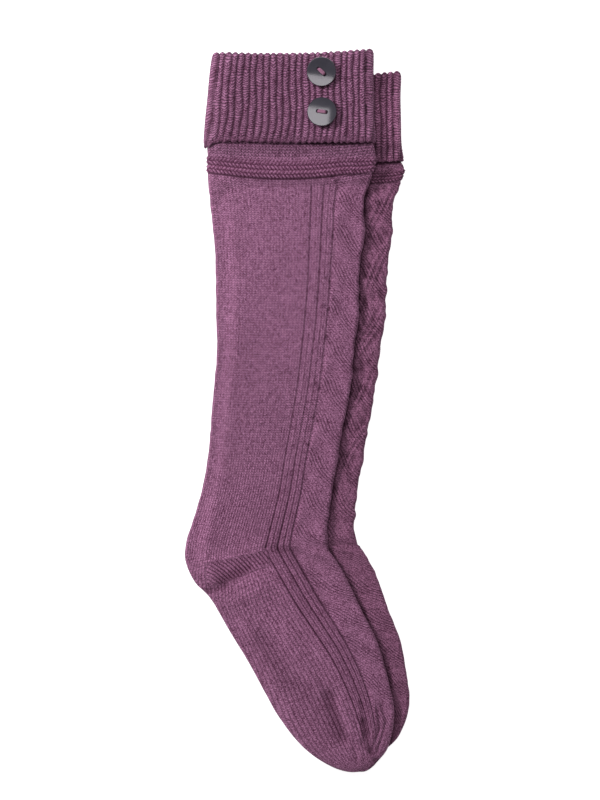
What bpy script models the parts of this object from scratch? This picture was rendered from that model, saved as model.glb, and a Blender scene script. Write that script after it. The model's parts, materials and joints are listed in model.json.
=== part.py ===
"""A pair of knee socks with turned, buttoned cuffs, laid flat, one on the other.

Metres, +Z up. The socks lie on the plane z = 0 with their cuffs towards +Y and
their toes towards -Y and +X. Each sock is a knitted tube pressed flat: a wall
around a thin slit, open at the top and closed at the toe. The upper sock lies on
the lower one, and the strip that reaches past the lower sock drapes to z = 0.
"""
import math
from collections import namedtuple

import bmesh
import bpy
import numpy
from mathutils import Matrix, Vector

MM = 0.001

# The cloth
WALL = 2.0 * MM
SLIT = 0.6 * MM
SEAM_GAP = 0.3 * MM
CUFF_WALL = 1.6 * MM
CROWN = 0.9 * MM
CROWN_FORM = 0.7
HALF_TUBE = WALL + SLIT / 2
LEG_TOP = 2 * HALF_TUBE
CUFF_LIFT = SEAM_GAP + CUFF_WALL
CUFF_TOP = LEG_TOP + 2 * CUFF_LIFT
FOLD_RISE = 2.2 * MM
FOLD_MIDDLE = (CUFF_LIFT - WALL) / 2
FOLD_HALF = (CUFF_LIFT + WALL) / 2
FOLD_TURNS = (35, 70, 105, 140)
HEM_ROLL = 0.5 * MM
LIFT_EASE = 12 * MM
BUTTON_WIDTH = 21.5 * MM
BUTTON_THICK = 3.0 * MM
HOLE_WIDTH = 2.2 * MM
HOLE_SPACING = 5.9 * MM
SEAT_TILT = 0.4

# Raised knitting
CUFF_RIBS = 23
COVERED_RIBS = 20
RIB_RISE = 0.9 * MM
RIB_LEAN = 0.02
RIB_SWAY = 0.005
RIBS_START = 0.03
RIBS_END = 0.97
HEM_RIB_SHARE = 0.3
WELT_RISE = 1.0 * MM
GROOVE_DEPTH = 0.7 * MM
GROOVE_WIDTH = 0.012
GROOVE_START = 8 * MM
GORE_DEPTH = 0.5 * MM
GORE_WIDTH = 7 * MM
GORE_EASE = 0.1
GORE_END = 0.60
PANEL_RISE = 0.45 * MM
PANEL_REPEAT = 28 * MM
PANEL_START = 0.80
PANEL_EASE = 0.06
TOE_PLAIN = 12 * MM
TOE_EASE = 60 * MM

# How the upper sock lies over the lower one
DRAPE_START = 2.5 * MM
LEG_DRAPE = 15 * MM
CUFF_DRAPE = 34 * MM
BUTTON_CLEAR = 13.5 * MM
BUTTON_DRAPE = 28 * MM
OUTLINE_POINTS = 70

# A row for each section of a sock, from the mouth to the toe, in millimetres:
# the point at the back of the leg or sole, the point on the first rib line, the
# point at the front of the leg or instep, how far the lower sock's section lies
# from the upper one's, and how full the tube is there.
Section = namedtuple(
    "Section", "name back_x back_y side_x side_y front_x front_y shift_x shift_y full"
)
SECTIONS = (
    Section("mouth", -61, 262.5, 11, 261.5, 54.5, 264.5, 20.5, -15.5, 1),
    Section("cuff_middle", -64.5, 228, 12, 227, 54, 229.5, 20.5, -14, 1),
    Section("hem", -66.5, 197, 12, 195.5, 56, 198.5, 21.2, -12.5, 1),
    Section("welt_start", -66, 188.5, 11.5, 184.5, 58, 189.5, 21.5, -8, 1),
    Section("welt_end", -66, 174.5, 11, 170, 55.5, 177, 21.5, -5, 1),
    Section("calf_top", -64.5, 155.5, 10.5, 152.5, 49.5, 156, 22, -2, 1),
    Section("calf_bulge", -62, 133, 9.5, 131.5, 49.5, 133, 20.5, 0, 1),
    Section("calf", -60.5, 106.5, 8.5, 105, 46.5, 106.5, 21, 0, 1),
    Section("calf_low", -60, 75.5, 6.5, 74, 45, 75.5, 20, 0, 1),
    Section("leg_middle", -59.5, 46, 3.5, 44.5, 42.5, 46, 19.5, 0, 1),
    Section("shin", -62, 16.5, 0, 15.5, 39, 16.5, 18.5, 0, 1),
    Section("shin_low", -64, -9.5, -4.5, -11, 34.5, -9, 19, 0, 1),
    Section("ankle_high", -66.5, -35.5, -9, -36.5, 29.5, -34, 19, 0, 1),
    Section("ankle", -71, -59, -13, -60, 26.5, -56, 19, 0, 1),
    Section("ankle_low", -77, -80, -18, -80.5, 23.5, -75.5, 19.5, -0.5, 1),
    Section("heel_top", -82, -97, -21.5, -94.5, 21, -89.5, 20.5, -3, 1),
    Section("gore", -82.5, -111, -23, -101.5, 21.5, -97, 22, -0.5, 1),
    Section("heel_low", -77, -124.5, -21.5, -105.5, 23.5, -102, 24.5, 0.5, 1),
    Section("sole_start", -63.5, -140, -17.5, -112.5, 29, -110.5, 24.5, 0, 1),
    Section("foot_back", -51, -161.5, -1, -141, 37, -126, 23, 0, 1),
    Section("foot", -37.5, -183.5, 11.5, -160, 46.5, -143.5, 20.5, -0.5, 1),
    Section("foot_front", -24.5, -207, 25, -180.5, 56, -164.5, 18.5, -0.5, 1),
    Section("ball", -10.5, -231, 37.5, -205.5, 66, -191, 15, 0, 1),
    Section("toe_start", 3.5, -248, 45, -225, 70, -209.5, 13, 2, 1),
    Section("toe", 18, -259, 49.5, -240.5, 71.5, -225, 11, 4.5, 1),
    Section("toe_low", 32, -265.5, 52, -252.5, 70, -240, 9, 6, 1),
    Section("toe_seam", 43, -267, 53.5, -259.5, 65, -253, 6.5, 7, 0.9),
    Section("toe_tip", 47, -266.5, 55, -263.5, 61, -257.5, 4, 6, 0.6),
)
SIDE_PLACE = 0.62
RIB_GROOVES = (0.62, 0.70, 0.775)
COVERED_TO = 0.85
COVERED_EASE = 0.03

# Places across a sock, from 0 at the back to 1 at the front
DRAPE_PLACES = (0.06, 0.12, 0.18, 0.24, 0.31)
CUFFED_PLACES = DRAPE_PLACES + (0.38, 0.46, 0.53, 0.575, 0.62, 0.665, 0.71, 0.755, 0.80, 0.86, 0.93)
RIBBED_PLACES = DRAPE_PLACES + (0.42, 0.53, 0.66, 0.735, 0.82, 0.87, 0.93)
PLAIN_PLACES = DRAPE_PLACES + (0.45, 0.62, 0.79, 0.93)
PANEL_EDGE_PLACES = (0.86, 0.90)
COVERED_PLACES = (0.45, 0.62, 0.79)
EDGE_ANGLES = (0, 42, 90)
INNER_EDGE_ANGLES = (0, 90)
ROW_STEP = 8.5 * MM
WELT_STEPS = 8
BENT_STEP = 6.5 * MM
LEG_STEP = 17 * MM
FOOT_STEP = 13 * MM

# The form of a rib: part of its width and share of its rise
RIB_FORM = ((0.0, 0.0), (0.30, 1.0), (0.70, 1.0))

# The form of a button from its back to its face: shares of its radius and height
BUTTON_SIDES = 20
HOLE_SIDES = 8
BUTTON_FORM = (
    (0.88, 0.0),
    (1.0, 0.4),
    (0.985, 0.83),
    (0.93, 1.0),
    (0.80, 0.93),
    (0.50, 0.85),
)

# Buttons on a cuff: place across, distance below the fold, and the thread's turn
Button = namedtuple("Button", "name across below turn_degrees")
BUTTONS = (
    Button("top", 0.677, 12.6 * MM, -43),
    Button("bottom", 0.674, 42.5 * MM, -9),
)

COLOURS = {
    "upper_knit": (0.25, 0.11, 0.19),
    "lower_knit": (0.17, 0.07, 0.12),
    "slate_button": (0.035, 0.042, 0.052),
}


def ease(part):
    """A smooth step from 0 to 1."""
    part = min(max(part, 0.0), 1.0)
    return part * part * (3 - 2 * part)


def column(*names):
    """The named columns of the sections, in metres, a row for each section."""
    return numpy.array([[getattr(s, n) for n in names] for s in SECTIONS], float) * MM


def distance_down():
    """How far each section is from the mouth, measured midway between back and front."""
    back_steps = numpy.diff(column("back_x", "back_y"), axis=0)
    front_steps = numpy.diff(column("front_x", "front_y"), axis=0)
    steps = numpy.linalg.norm(back_steps, axis=1) + numpy.linalg.norm(front_steps, axis=1)
    return numpy.concatenate([[0], numpy.cumsum(steps / 2)])


DOWN = distance_down()


def down_at(name):
    """The distance down to a named section."""
    return DOWN[[s.name for s in SECTIONS].index(name)]


class Curve:
    """A smooth curve through a row of values, one for each section."""

    def __init__(self, values):
        self.values = values
        self.slopes = numpy.gradient(values, DOWN, axis=0)

    def at(self, down):
        i = int(numpy.clip(numpy.searchsorted(DOWN, down) - 1, 0, len(DOWN) - 2))
        span = DOWN[i + 1] - DOWN[i]
        t = (down - DOWN[i]) / span
        if t < 0:
            return self.values[0] + self.slopes[0] * down
        a, b = self.values[i], self.values[i + 1]
        sa, sb = self.slopes[i] * span, self.slopes[i + 1] * span
        return (
            a * (1 + 2 * t) * (1 - t) ** 2
            + sa * t * (1 - t) ** 2
            + b * t * t * (3 - 2 * t)
            - sb * t * t * (1 - t)
        )


BACK = Curve(column("back_x", "back_y"))
SIDE = Curve(column("side_x", "side_y"))
FRONT = Curve(column("front_x", "front_y"))
SHIFT = Curve(column("shift_x", "shift_y"))
FULL = Curve(column("full") / MM)
HEM = down_at("hem")
WELT_START = down_at("welt_start")
WELT_END = down_at("welt_end")


def lower_outline(end, spread, rise):
    """The edge of the lower sock from its mouth to a distance down, seen from above."""
    backs, fronts = [], []
    for down in numpy.linspace(0, end, OUTLINE_POINTS):
        back, front = BACK.at(down), FRONT.at(down)
        along = (front - back) / numpy.linalg.norm(front - back)
        backs.append(back - along * spread + SHIFT.at(down))
        fronts.append(front + along * spread + SHIFT.at(down))
    backs[0] = backs[0] + (0, rise)
    fronts[0] = fronts[0] + (0, rise)
    return numpy.array(backs + fronts[::-1])


LOWER_LEG_EDGE = lower_outline(DOWN[-1], 0, 0)
LOWER_CUFF_EDGE = lower_outline(HEM, CUFF_LIFT, FOLD_RISE)


def outside(x, y, edge):
    """The distance from a point to an outline, 0 for a point inside it."""
    point = numpy.array((x, y))
    ends = numpy.roll(edge, -1, axis=0)
    run = ends - edge
    part = ((point - edge) * run).sum(axis=1) / (run * run).sum(axis=1)
    nearest = edge + run * numpy.clip(part, 0, 1)[:, None]
    away = numpy.linalg.norm(nearest - point, axis=1).min()
    above = (edge[:, 1] > y) != (ends[:, 1] > y)
    crossing = edge[:, 0] + (y - edge[:, 1]) * run[:, 0] / numpy.where(above, run[:, 1], 1)
    inside = numpy.count_nonzero(above & (crossing > x)) % 2 == 1
    return 0.0 if inside else away


def draped(x, y, edge, height, reach):
    """The height of cloth that lies on something of an outline and falls beside it."""
    return height * (1 - ease((outside(x, y, edge) - DRAPE_START) / reach))


def plan(shift, across, down):
    """A point of a flat sock seen from above, and the direction across there."""
    back, side, front = BACK.at(down), SIDE.at(down), FRONT.at(down)
    k = SIDE_PLACE
    u = across
    point = (
        back * (u - k) * (u - 1) / k
        + side * u * (u - 1) / (k * (k - 1))
        + front * u * (u - k) / (1 - k)
    )
    run = front - back
    return point + SHIFT.at(down) * shift, run / numpy.linalg.norm(run)


def button_place(shift, button):
    """Where a button's middle is, seen from above."""
    return plan(shift, button.across, button.below)[0]


def rest_height(shift, x, y):
    """The height of the surface that a sock's underside lies on."""
    if shift:
        return 0.0
    leg = draped(x, y, LOWER_LEG_EDGE, LEG_TOP + SEAM_GAP, LEG_DRAPE)
    cuff = draped(x, y, LOWER_CUFF_EDGE, CUFF_TOP + SEAM_GAP, CUFF_DRAPE)
    bump = 0.0
    for button in BUTTONS:
        middle = button_place(1, button)
        away = math.hypot(x - middle[0], y - middle[1]) - BUTTON_CLEAR
        bump = max(bump, 1 - ease(away / BUTTON_DRAPE))
    return max(leg, cuff) + bump * (BUTTON_THICK + SEAM_GAP)


def crown_height(shift, across):
    """How far the air in the upper sock lifts its top layer."""
    return 0.0 if shift else CROWN * (4 * across * (1 - across)) ** CROWN_FORM


def groove(across, middle, width):
    """A soft trough across a sock, 1 in its middle."""
    return max(0.0, 1 - abs(across - middle) / width)


def leg_relief(shift, across, down):
    """How far the knitting of the leg and foot stands out."""
    shown = ease((across - COVERED_TO) / COVERED_EASE) if shift else 1.0
    toe = ease((DOWN[-1] - TOE_PLAIN - down) / TOE_EASE)
    rise = 0.0
    if WELT_START <= down <= WELT_END:
        turns = 2 * (down - WELT_START) / (WELT_END - WELT_START)
        rise += WELT_RISE * abs(math.sin(math.pi * turns))
    elif down > WELT_END:
        fade = ease((down - WELT_END) / GROOVE_START) * toe
        for middle in RIB_GROOVES:
            rise -= GROOVE_DEPTH * fade * groove(across, middle, GROOVE_WIDTH)
        panel = ease((across - PANEL_START) / PANEL_EASE) * fade
        rise += PANEL_RISE * panel * (0.5 + 0.5 * math.sin(2 * math.pi * down / PANEL_REPEAT))
        for name in ("gore", "heel_low"):
            near = groove(down, down_at(name), GORE_WIDTH)
            near *= ease(across / GORE_EASE) * ease((GORE_END - across) / (GORE_EASE / 2))
            rise -= GORE_DEPTH * near
    return rise * shown


def cuff_lift(down):
    """How far the leg is lifted by the cuff turned down around it."""
    return CUFF_LIFT * (1 - ease((down - HEM) / LIFT_EASE))


def sock_point(shift, across, down, under, offset, turn=90, relief=0.0):
    """A point of a tube: across it at a place, or on its rounded edge at a turn."""
    half = HALF_TUBE * float(FULL.at(down)[0]) + offset
    flat, along = plan(shift, min(max(across, 0), 1), down)
    if across < 0.5 and turn < 90:
        flat = flat - along * (offset + relief - half * (1 - math.cos(math.radians(turn))))
    elif turn < 90:
        flat = flat + along * (offset + relief - half * (1 - math.cos(math.radians(turn))))
    rise = math.sin(math.radians(turn))
    floor = rest_height(shift, *flat) + cuff_lift(down)
    middle = floor + half - offset
    if under:
        return (flat[0], flat[1], middle - half * rise)
    top = half * rise + crown_height(shift, across) + relief * rise
    return (flat[0], flat[1], middle + top)


def ring(shift, down, offset, top_places, under_places, angles, relief=None):
    """One ring of points around a tube, each with its place around, 0 to 1."""
    width = numpy.linalg.norm(FRONT.at(down) - BACK.at(down))
    half = HALF_TUBE * float(FULL.at(down)[0]) + offset
    edge = max(half, 0.1 * MM) / width
    points = []
    for under, places in ((False, top_places), (True, under_places)):
        stops = [(0.0, a) for a in angles[:-1]] + [(p, 90) for p in places if 0 < p < 1]
        stops += [(1.0, a) for a in reversed(angles[:-1])]
        if under:
            stops = stops[1:-1][::-1]
        for across, turn in stops:
            rise = relief(across, down) if relief and not under else 0.0
            bend = edge * (1 - math.cos(math.radians(turn))) if turn < 90 else 0.0
            place = across + bend if across < 0.5 else across - bend
            around = 1 - place / 2 if under else place / 2
            point = sock_point(shift, across, down, under, offset, turn, rise)
            points.append((around, point))
    return points


def add_ring(mesh, points):
    """Puts a ring's points in a mesh."""
    return [(around, mesh.verts.new(point)) for around, point in points]


def join_rings(mesh, first, second):
    """Faces between two rings, which may have different numbers of points."""
    i = j = 0
    while i < len(first) or j < len(second):
        next_first = first[(i + 1) % len(first)][0] + (i + 1) // len(first)
        next_second = second[(j + 1) % len(second)][0] + (j + 1) // len(second)
        a, b = first[i % len(first)][1], second[j % len(second)][1]
        if j == len(second) or (i < len(first) and next_first <= next_second):
            mesh.faces.new((a, first[(i + 1) % len(first)][1], b))
            i += 1
        else:
            mesh.faces.new((a, second[(j + 1) % len(second)][1], b))
            j += 1


def close_ring(mesh, points):
    """A seam that closes a flat ring: its top is joined to its underside."""
    top = [p for p in points if p[0] <= 0.5]
    under = [top[0]] + [(1 - a, v) for a, v in reversed(points) if a > 0.5] + [top[-1]]
    i = j = 0
    while i < len(top) - 1 or j < len(under) - 1:
        a, b = top[i][1], under[j][1]
        ahead = j == len(under) - 1 or (i < len(top) - 1 and top[i + 1][0] <= under[j + 1][0])
        c = top[i + 1][1] if ahead else under[j + 1][1]
        if a is not b and c is not a and c is not b:
            mesh.faces.new((a, c, b))
        i, j = (i + 1, j) if ahead else (i, j + 1)


def material(name, roughness):
    """A Principled material of a named colour."""
    made = bpy.data.materials.new(name)
    made.use_nodes = True
    shader = made.node_tree.nodes["Principled BSDF"]
    shader.inputs["Base Color"].default_value = (*COLOURS[name], 1)
    shader.inputs["Roughness"].default_value = roughness
    shader.inputs["Metallic"].default_value = 0
    return made


def add_object(name, mesh, finish):
    """Makes an object of a mesh that is under construction."""
    bmesh.ops.triangulate(mesh, faces=mesh.faces[:])
    bmesh.ops.recalc_face_normals(mesh, faces=mesh.faces[:])
    data = bpy.data.meshes.new(name)
    mesh.to_mesh(data)
    mesh.free()
    data.materials.append(finish)
    data.shade_smooth()
    made = bpy.data.objects.new(name, data)
    bpy.context.collection.objects.link(made)
    return made


def rows_between(stops, step):
    """Distances down from the first stop to the last, with each stop among them."""
    rows = [stops[0]]
    for start, end in zip(stops, stops[1:]):
        count = max(1, math.ceil((end - start) / step - 0.01))
        rows += [start + (end - start) * (k + 1) / count for k in range(count)]
    return rows


def leg_places(shift, down):
    """Places across the top and the underside of a leg's outer skin."""
    if down < HEM + 1 * MM:
        return CUFFED_PLACES, CUFFED_PLACES
    if shift:
        return PLAIN_PLACES + PANEL_EDGE_PLACES, PLAIN_PLACES
    places = list(RIBBED_PLACES)
    for middle in RIB_GROOVES:
        places += [middle - GROOVE_WIDTH, middle, middle + GROOVE_WIDTH]
    return sorted(places), PLAIN_PLACES


def sock_rows():
    """Distances down to each ring of a leg and foot."""
    rows = rows_between((0, HEM), ROW_STEP)
    rows += rows_between((WELT_START, WELT_END), (WELT_END - WELT_START) / WELT_STEPS)
    rows += rows_between((WELT_END, down_at("calf_top")), BENT_STEP)[1:]
    rows += rows_between((down_at("calf_top"), down_at("heel_top")), LEG_STEP)[1:]
    rows += rows_between([d for d in DOWN if d >= down_at("heel_top")], FOOT_STEP)[1:]
    return rows


def add_sock(name, shift, finish):
    """The leg and foot of one sock: an outer skin, and a plain inner one."""
    mesh = bmesh.new()
    rows = sock_rows()
    inner_end = down_at("toe_low")

    def relief(across, down):
        return leg_relief(shift, across, down)

    bent = [d for d in rows if d <= down_at("calf_top")]
    level = [d for d in rows if down_at("calf_top") < d < inner_end]
    rings = []
    for down in level[::-2] + bent[::-1]:
        places = PLAIN_PLACES if down in level else CUFFED_PLACES
        points = ring(shift, down, -WALL, places, places, INNER_EDGE_ANGLES)
        rings.append(add_ring(mesh, points))
    for down in rows:
        places = leg_places(shift, down)
        rings.append(add_ring(mesh, ring(shift, down, 0, *places, EDGE_ANGLES, relief)))
    for first, second in zip(rings, rings[1:]):
        join_rings(mesh, first, second)
    close_ring(mesh, rings[0])
    close_ring(mesh, rings[-1])
    return add_object(name, mesh, finish)


def rib_lean(down):
    """How far the ribs of a cuff wander to the back, as a share of its width."""
    part = down / HEM
    return RIB_LEAN * part * part + RIB_SWAY * math.sin(2 * math.pi * part)


def cuff_places(shift, down):
    """Places across a cuff's top, three for each rib, and how far each is raised."""
    hidden = [(place, 0.0) for place in DRAPE_PLACES + COVERED_PLACES if shift]
    ribs = []
    for rib in range(COVERED_RIBS if shift else 0, CUFF_RIBS):
        for part, rise in RIB_FORM:
            place = RIBS_START + (RIBS_END - RIBS_START) * (rib + part) / CUFF_RIBS
            ribs.append((place - rib_lean(max(down, 0)), rise))
    return hidden + ribs


def add_cuff(name, shift, finish):
    """The turned cuff: a ribbed flap, a fold over the leg's rim and a plain inside."""
    mesh = bmesh.new()
    rings = []

    def add_plain(down, offset):
        points = ring(shift, down, offset, CUFFED_PLACES, CUFFED_PLACES, EDGE_ANGLES)
        rings.append(add_ring(mesh, points))

    def add_ribbed(down, offset, share):
        places = dict(cuff_places(shift, down))

        def relief(across, _):
            return RIB_RISE * share * places.get(across, 0.5)

        points = ring(shift, down, offset, places, CUFFED_PLACES, EDGE_ANGLES, relief)
        rings.append(add_ring(mesh, points))

    add_plain(HEM, SEAM_GAP)
    add_ribbed(HEM + HEM_ROLL, CUFF_LIFT / 2, HEM_RIB_SHARE)
    for down in reversed(rows_between((0, HEM), ROW_STEP)):
        add_ribbed(down, CUFF_LIFT, 1)
    for turn in FOLD_TURNS:
        offset = FOLD_MIDDLE + FOLD_HALF * math.cos(math.radians(turn))
        down = -SEAM_GAP - FOLD_RISE * math.sin(math.radians(turn))
        add_ribbed(down, offset, 0.5 + 0.5 * math.cos(math.radians(turn)))
    lip = ring(shift, -SEAM_GAP, -WALL, CUFFED_PLACES, CUFFED_PLACES, INNER_EDGE_ANGLES)
    rings.append(add_ring(mesh, lip))
    add_plain(-SEAM_GAP, SEAM_GAP)
    for down in rows_between((0, HEM), ROW_STEP)[1:-1]:
        add_plain(down, SEAM_GAP)
    for first, second in zip(rings, rings[1:] + rings[:1]):
        join_rings(mesh, first, second)
    return add_object(name, mesh, finish)


def turned_body(profile, segments):
    """A closed body turned from a profile of radii and heights, bottom first."""
    mesh = bmesh.new()
    turns = [2 * math.pi * k / segments for k in range(segments)]
    rings = [
        [mesh.verts.new((radius * math.cos(t), radius * math.sin(t), height)) for t in turns]
        for radius, height in profile
    ]
    for lower, upper in zip(rings, rings[1:]):
        for k in range(segments):
            n = (k + 1) % segments
            mesh.faces.new((lower[k], lower[n], upper[n], upper[k]))
    mesh.faces.new(rings[0][::-1])
    mesh.faces.new(rings[-1])
    return mesh


def hole_cutter(name):
    """Two round rods that cut the holes of a button."""
    mesh = bmesh.new()
    for side in (-1, 1):
        place = Matrix.Translation((side * HOLE_SPACING / 2, 0, BUTTON_THICK / 2))
        bmesh.ops.create_cone(
            mesh,
            cap_ends=True,
            segments=HOLE_SIDES,
            radius1=HOLE_WIDTH / 2,
            radius2=HOLE_WIDTH / 2,
            depth=BUTTON_THICK * 2,
            matrix=place,
        )
    data = bpy.data.meshes.new(name)
    mesh.to_mesh(data)
    mesh.free()
    cutter = bpy.data.objects.new(name, data)
    bpy.context.collection.objects.link(cutter)
    cutter.hide_render = True
    cutter.display_type = "WIRE"
    return cutter


def seat(shift, button):
    """The height and slopes of the plane that a button lies on, over a cuff's ribs."""
    x, y = button_place(shift, button)
    width = numpy.linalg.norm(FRONT.at(button.below) - BACK.at(button.below))
    spots = []
    for share in (0.0, 0.5, 1.0):
        for k in range(8):
            step_x = share * BUTTON_WIDTH / 2 * math.cos(math.pi * k / 4)
            step_y = share * BUTTON_WIDTH / 2 * math.sin(math.pi * k / 4)
            top = rest_height(shift, x + step_x, y + step_y) + CUFF_TOP
            top += crown_height(shift, button.across + step_x / width)
            spots.append((step_x, step_y, top))
    spots = numpy.array(spots)
    plane = numpy.column_stack([spots[:, :2], numpy.ones(len(spots))])
    slopes = numpy.linalg.lstsq(plane, spots[:, 2], rcond=None)[0]
    slopes[:2] *= SEAT_TILT
    above = (spots[:, 2] - plane @ slopes).max()
    ribs = 0.0 if shift else RIB_RISE
    return Vector((x, y, slopes[2] + above + ribs + SEAM_GAP)), slopes[0], slopes[1]


def add_button(sock, button, shift, finish):
    """A flat round button with a dished face and two holes, seated on a cuff."""
    place, slope_x, slope_y = seat(shift, button)
    radius = BUTTON_WIDTH / 2
    profile = [(radius * r, BUTTON_THICK * h) for r, h in BUTTON_FORM]
    mesh = turned_body(profile, BUTTON_SIDES)
    made = add_object(f"{sock}_button_{button.name}", mesh, finish)
    normal = Vector((-slope_x, -slope_y, 1)).normalized()
    turn = Matrix.Rotation(math.radians(button.turn_degrees), 4, "Z")
    tilt = Vector((0, 0, 1)).rotation_difference(normal).to_matrix().to_4x4()
    made.matrix_world = Matrix.Translation(place) @ tilt @ turn
    cutter = hole_cutter(f"{made.name}_holes")
    cutter.matrix_world = made.matrix_world
    cut = made.modifiers.new("holes", "BOOLEAN")
    cut.operation = "DIFFERENCE"
    cut.solver = "EXACT"
    cut.object = cutter


def main():
    """Clears the scene and builds both socks."""
    for old in list(bpy.data.objects):
        bpy.data.objects.remove(old, do_unlink=True)
    button_finish = material("slate_button", 0.25)
    for sock, shift in (("lower", 1), ("upper", 0)):
        knit = material(f"{sock}_knit", 0.9)
        add_sock(f"{sock}_sock", shift, knit)
        add_cuff(f"{sock}_cuff", shift, knit)
        for button in BUTTONS:
            add_button(sock, button, shift, button_finish)


main()
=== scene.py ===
"""The looks of a pair of knee socks with turned, buttoned cuffs, laid on a pale floor.

Metres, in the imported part's frame: +Y towards the cuffs, +X towards the toes' side and
+Z up to the camera. Each piece of knitting is a closed thin wall on the form of its
solid: raised stitches, ribs and folds on the outside, and a plain inside.
"""
import json
import math
from collections import namedtuple

import bmesh
import bpy
import numpy as np
from mathutils import Matrix, Vector

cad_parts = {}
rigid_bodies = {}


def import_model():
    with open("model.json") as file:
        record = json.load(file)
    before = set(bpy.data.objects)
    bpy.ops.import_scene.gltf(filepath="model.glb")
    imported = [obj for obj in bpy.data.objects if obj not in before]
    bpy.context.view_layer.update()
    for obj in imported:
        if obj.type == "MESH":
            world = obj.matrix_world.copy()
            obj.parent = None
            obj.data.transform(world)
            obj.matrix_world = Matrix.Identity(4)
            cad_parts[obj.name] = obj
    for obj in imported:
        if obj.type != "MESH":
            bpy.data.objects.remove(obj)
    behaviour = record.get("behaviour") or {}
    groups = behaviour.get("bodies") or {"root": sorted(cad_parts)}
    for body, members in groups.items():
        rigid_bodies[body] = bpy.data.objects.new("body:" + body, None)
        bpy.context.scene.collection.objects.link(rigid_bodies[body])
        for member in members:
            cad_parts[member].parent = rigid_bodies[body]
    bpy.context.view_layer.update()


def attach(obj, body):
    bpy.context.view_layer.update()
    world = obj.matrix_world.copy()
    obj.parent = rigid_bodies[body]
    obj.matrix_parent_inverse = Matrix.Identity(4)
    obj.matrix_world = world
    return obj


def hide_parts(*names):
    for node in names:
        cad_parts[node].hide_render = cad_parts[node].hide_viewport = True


MM = 0.001

# The photograph: its size, one pixel on the socks, and the pixel of the frame's origin
PHOTO_HEIGHT = 800
PIXEL = 0.74 * MM
ORIGIN_X = 297
ORIGIN_Y = 412
VIEW_X = 300
VIEW_Y = 400

# The cloth, as in the solids
WALL = 2.0 * MM
SLIT = 0.6 * MM
SEAM_GAP = 0.3 * MM
CUFF_WALL = 1.6 * MM
CROWN = 0.9 * MM
CROWN_FORM = 0.7
HALF_TUBE = WALL + SLIT / 2
LEG_TOP = 2 * HALF_TUBE
CUFF_LIFT = SEAM_GAP + CUFF_WALL
CUFF_TOP = LEG_TOP + 2 * CUFF_LIFT
FOLD_RISE = 2.2 * MM
FOLD_MIDDLE = (CUFF_LIFT - WALL) / 2
FOLD_HALF = (CUFF_LIFT + WALL) / 2
HEM_ROLL = 0.5 * MM
LIFT_EASE = 12 * MM

# How the upper sock lies over the lower one, as in the solids
DRAPE_START = 2.5 * MM
LEG_DRAPE = 15 * MM
CUFF_DRAPE = 34 * MM
BUTTON_CLEAR = 13.5 * MM
BUTTON_DRAPE = 28 * MM
OUTLINE_POINTS = 70

# A row for each section of a sock, from the mouth to the toe, in millimetres, as in
# the solids: the back of the leg or sole, the first rib line, the front of the leg or
# instep, how far the lower sock's section lies from the upper one's, and how full it is
Section = namedtuple(
    "Section",
    "name back_x back_y side_x side_y front_x front_y shift_x shift_y full",
    defaults=(1,),
)
SECTION_ROWS = (
    ("mouth", -61, 262.5, 11, 261.5, 54.5, 264.5, 20.5, -15.5),
    ("cuff_middle", -64.5, 228, 12, 227, 54, 229.5, 20.5, -14),
    ("hem", -66.5, 197, 12, 195.5, 56, 198.5, 21.2, -12.5),
    ("welt_start", -66, 188.5, 11.5, 184.5, 58, 189.5, 21.5, -8),
    ("welt_end", -66, 174.5, 11, 170, 55.5, 177, 21.5, -5),
    ("calf_top", -64.5, 155.5, 10.5, 152.5, 49.5, 156, 22, -2),
    ("calf_bulge", -62, 133, 9.5, 131.5, 49.5, 133, 20.5, 0),
    ("calf", -60.5, 106.5, 8.5, 105, 46.5, 106.5, 21, 0),
    ("calf_low", -60, 75.5, 6.5, 74, 45, 75.5, 20, 0),
    ("leg_middle", -59.5, 46, 3.5, 44.5, 42.5, 46, 19.5, 0),
    ("shin", -62, 16.5, 0, 15.5, 39, 16.5, 18.5, 0),
    ("shin_low", -64, -9.5, -4.5, -11, 34.5, -9, 19, 0),
    ("ankle_high", -66.5, -35.5, -9, -36.5, 29.5, -34, 19, 0),
    ("ankle", -71, -59, -13, -60, 26.5, -56, 19, 0),
    ("ankle_low", -77, -80, -18, -80.5, 23.5, -75.5, 19.5, -0.5),
    ("heel_top", -82, -97, -21.5, -94.5, 21, -89.5, 20.5, -3),
    ("gore", -82.5, -111, -23, -101.5, 21.5, -97, 22, -0.5),
    ("heel_low", -77, -124.5, -21.5, -105.5, 23.5, -102, 24.5, 0.5),
    ("sole_start", -63.5, -140, -17.5, -112.5, 29, -110.5, 24.5, 0),
    ("foot_back", -51, -161.5, -1, -141, 37, -126, 23, 0),
    ("foot", -37.5, -183.5, 11.5, -160, 46.5, -143.5, 20.5, -0.5),
    ("foot_front", -24.5, -207, 25, -180.5, 56, -164.5, 18.5, -0.5),
    ("ball", -10.5, -231, 37.5, -205.5, 66, -191, 15, 0),
    ("toe_start", 3.5, -248, 45, -225, 70, -209.5, 13, 2),
    ("toe", 18, -259, 49.5, -240.5, 71.5, -225, 11, 4.5),
    ("toe_low", 32, -265.5, 52, -252.5, 70, -240, 9, 6),
    ("toe_seam", 43, -267, 53.5, -259.5, 65, -253, 6.5, 7, 0.9),
    ("toe_tip", 47, -266.5, 55, -263.5, 61, -257.5, 4, 6, 0.6),
)
SECTIONS = [Section(*row) for row in SECTION_ROWS]
SIDE_PLACE = 0.62

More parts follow.
